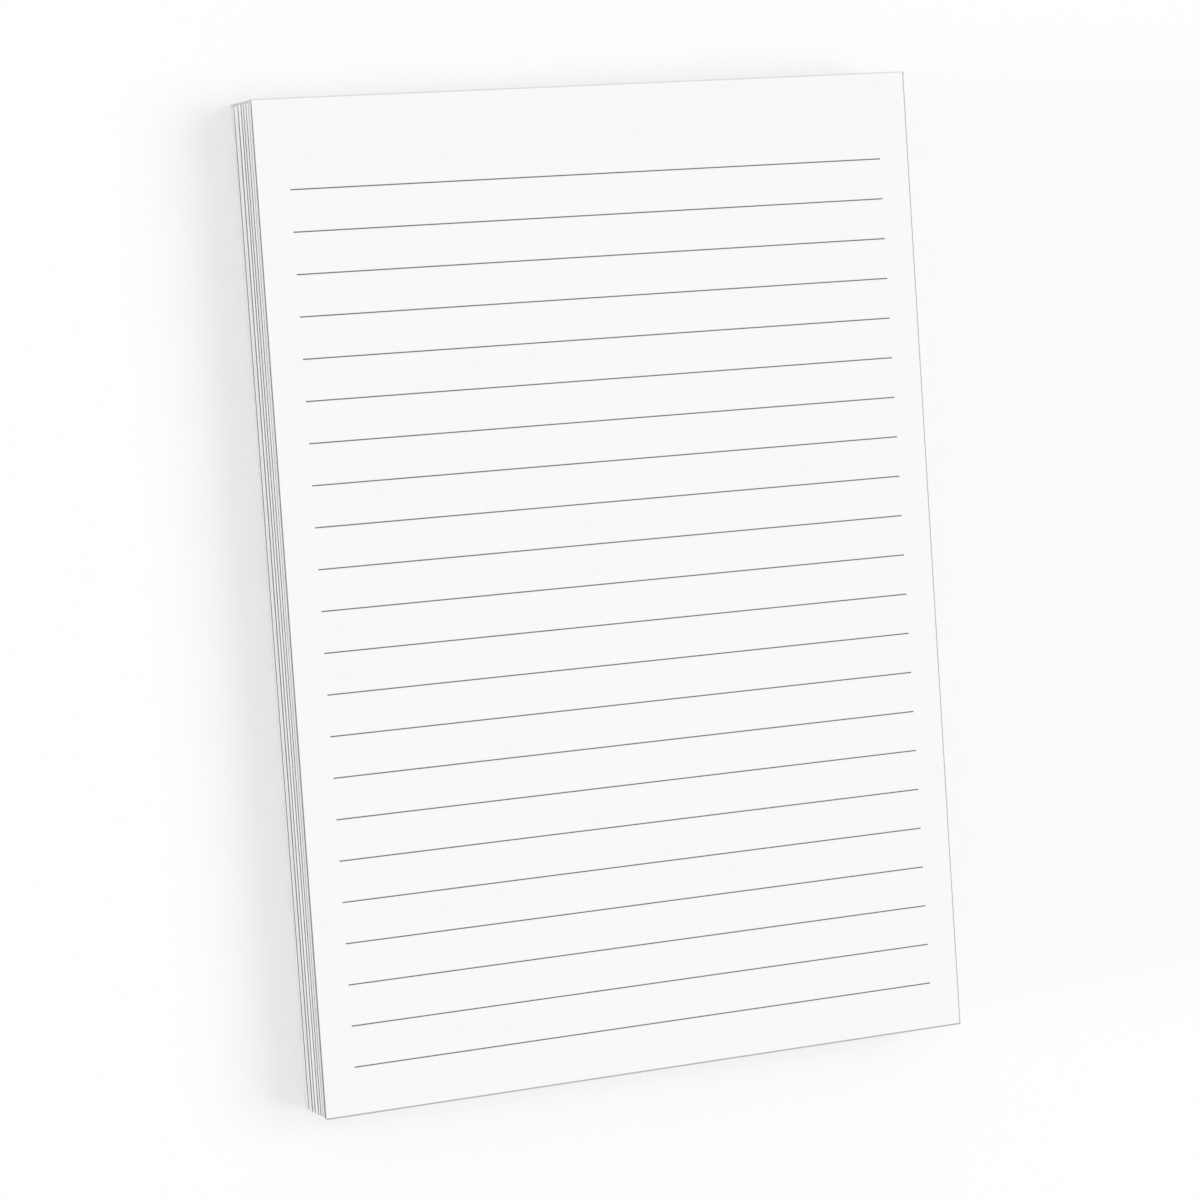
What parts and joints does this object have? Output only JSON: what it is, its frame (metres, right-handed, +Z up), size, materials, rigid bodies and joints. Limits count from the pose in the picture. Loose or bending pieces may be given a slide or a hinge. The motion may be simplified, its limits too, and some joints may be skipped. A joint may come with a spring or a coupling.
{
  "type": "ruled notepad",
  "caption": "Flat pad of ruled white sheets glued along the head, on a card backing board, for writing and tearing off sheet by sheet.",
  "frame": {"origin": "under the middle of the pad, on the surface that it lies on", "axes": "+X to the right across the sheet as it is read, +Y towards the glued head, +Z up out of the ruled face"},
  "size_m": [0.1484, 0.2102, 0.015],
  "materials": {
    "paper": "uncoated white writing paper",
    "ink": "matt grey printed rules",
    "card": "white-lined backing card",
    "glue": "dried white padding glue, slightly glossy"
  },
  "bodies": {
    "root": {"sheets": "paper", "ruled_lines": "ink", "backing_board": "card", "binding_glue": "glue"}
  },
  "joints": []
}
